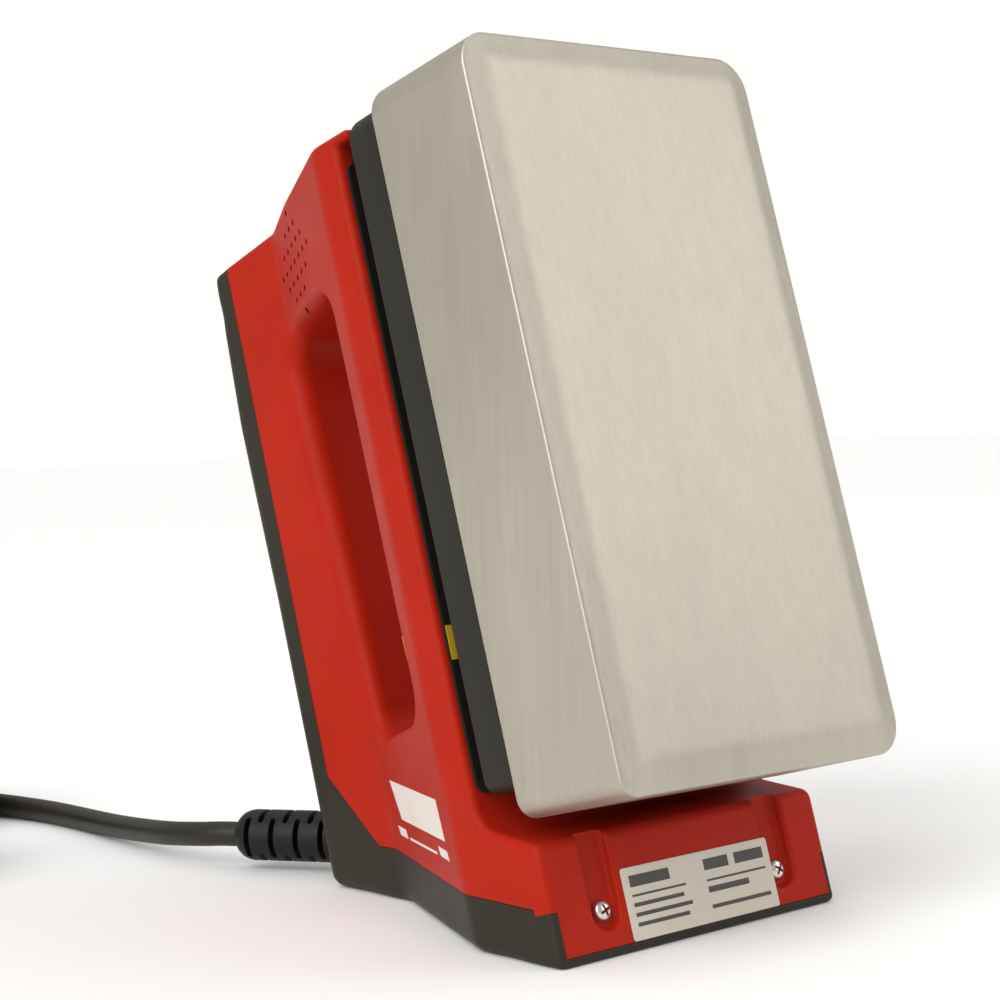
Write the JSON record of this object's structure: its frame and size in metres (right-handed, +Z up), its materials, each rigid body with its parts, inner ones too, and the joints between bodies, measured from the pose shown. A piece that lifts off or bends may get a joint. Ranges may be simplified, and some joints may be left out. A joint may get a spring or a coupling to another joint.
{
  "type": "waxing iron",
  "caption": "Ski waxing iron with a thick bevelled base plate, heat shield and through handle, standing on its heel with its mains cord.",
  "frame": {"origin": "centre of the flat heel rest, on the floor", "axes": "+Z up with the iron standing on its heel; the sole faces -Y and leans back 15 degrees; the grip is towards +Y; X across"},
  "size_m": [0.1585, 0.3777, 0.207],
  "materials": {
    "plate_metal": "brushed satin, bead-rolled edges",
    "element_steel": "heat-stained tube",
    "bare_steel": "zinc plated",
    "ceramic": "fired ceramic",
    "fibre_mat": "ceramic fibre felt",
    "shield_paint": "matt dark grey enamel",
    "bush_black": "moulded",
    "housing_red": "fine satin moulding",
    "cover_black": "fine spark-eroded grain",
    "label_film": "printed film",
    "mark_print": "pad print",
    "caution_film": "plain yellow film",
    "lens_clear": "clear window",
    "lcd_grey": "display",
    "board_green": "solder resist",
    "part_black": "moulded",
    "button_grey": "soft touch",
    "button_red": "soft touch",
    "wire_sleeve": "glass-fibre sleeve",
    "terminal_white": "moulded",
    "sink_metal": "extruded",
    "fuse_glass": "glass tube",
    "cord_black": "flexible PVC sheath",
    "plug_black": "moulded",
    "contact_metal": "nickel plated"
  },
  "bodies": {
    "iron": {"sole_plate": "plate_metal", "heating_element": "element_steel", "element_clamps": "bare_steel", "clamp_screws": "bare_steel", "temperature_sensor": "bare_steel", "thermal_cutout": "ceramic", "insulation_mat": "fibre_mat", "heat_shield": "shield_paint", "plate_posts": "bare_steel", "spacer_bushes": "bush_black", "housing_screws": "bare_steel", "base_board": "part_black", "main_housing": "housing_red", "back_cover": "cover_black", "foot_screws": "bare_steel", "cover_screws": "bare_steel", "rating_label": "label_film", "side_marks": "mark_print", "caution_patches": "caution_film", "display_window": "lens_clear", "display_module": "lcd_grey", "control_board": "board_green", "tact_switches": "part_black", "beeper": "part_black", "handle_harness": "wire_sleeve", "power_board": "board_green", "terminal_block": "terminal_white", "triac": "part_black", "heat_sink": "sink_metal", "fuse": "fuse_glass", "element_leads": "wire_sleeve", "cord_clamp": "part_black", "cord_clamp_screws": "bare_steel", "inner_cord": "cord_black", "cord_guard": "cord_black", "cord_tube": "cord_black", "cord_coil": "cord_black", "cord_lead": "cord_black", "plug_body": "plug_black", "plug_pins": "contact_metal", "plug_earth_clips": "contact_metal"},
    "button_minus_cap": {"button_minus": "button_grey"},
    "button_set_cap": {"button_set": "button_red"},
    "button_plus_cap": {"button_plus": "button_grey"}
  },
  "joints": [
    {"name": "button_minus_press", "type": "slide", "parent": "iron", "child": "button_minus_cap", "axis": [0, -0.9659, 0.2588], "range_m": [0, 0.0008], "stiffness_N_per_m": 800},
    {"name": "button_set_press", "type": "slide", "parent": "iron", "child": "button_set_cap", "axis": [0, -0.9659, 0.2588], "range_m": [0, 0.0008], "stiffness_N_per_m": 800},
    {"name": "button_plus_press", "type": "slide", "parent": "iron", "child": "button_plus_cap", "axis": [0, -0.9659, 0.2588], "range_m": [0, 0.0008], "stiffness_N_per_m": 800}
  ]
}
